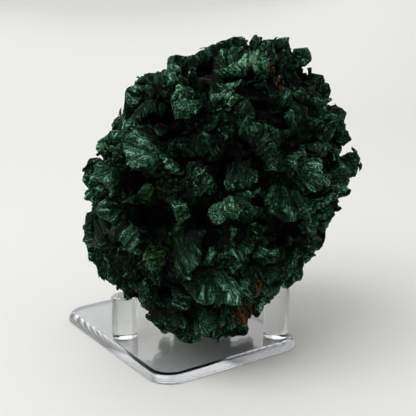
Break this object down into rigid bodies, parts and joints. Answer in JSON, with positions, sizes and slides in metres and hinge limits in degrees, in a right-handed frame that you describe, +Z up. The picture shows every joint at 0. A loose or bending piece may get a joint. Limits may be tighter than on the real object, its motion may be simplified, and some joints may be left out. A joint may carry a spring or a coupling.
{
  "type": "malachite specimen on a three-peg stand",
  "caption": "Dark green fibrous malachite cluster of fan-shaped silky sheaves, resting on a clear acrylic display stand with a rounded plate and short rod pegs.",
  "frame": {"origin": "middle of the stand plate's underside, on the surface that it stands on", "axes": "+Z up; -Y toward the edge with the single short peg; +X to the right seen from that edge; the stone's best face looks toward +X and -Y, about 56 degrees round from -Y"},
  "size_m": [0.1123, 0.1069, 0.1138],
  "materials": {
    "malachite": "satin",
    "clear_acrylic": "gloss"
  },
  "bodies": {
    "root": {"malachite": "malachite", "base_plate": "clear_acrylic", "front_peg": "clear_acrylic", "rear_peg_right": "clear_acrylic", "rear_peg_left": "clear_acrylic"}
  },
  "joints": []
}
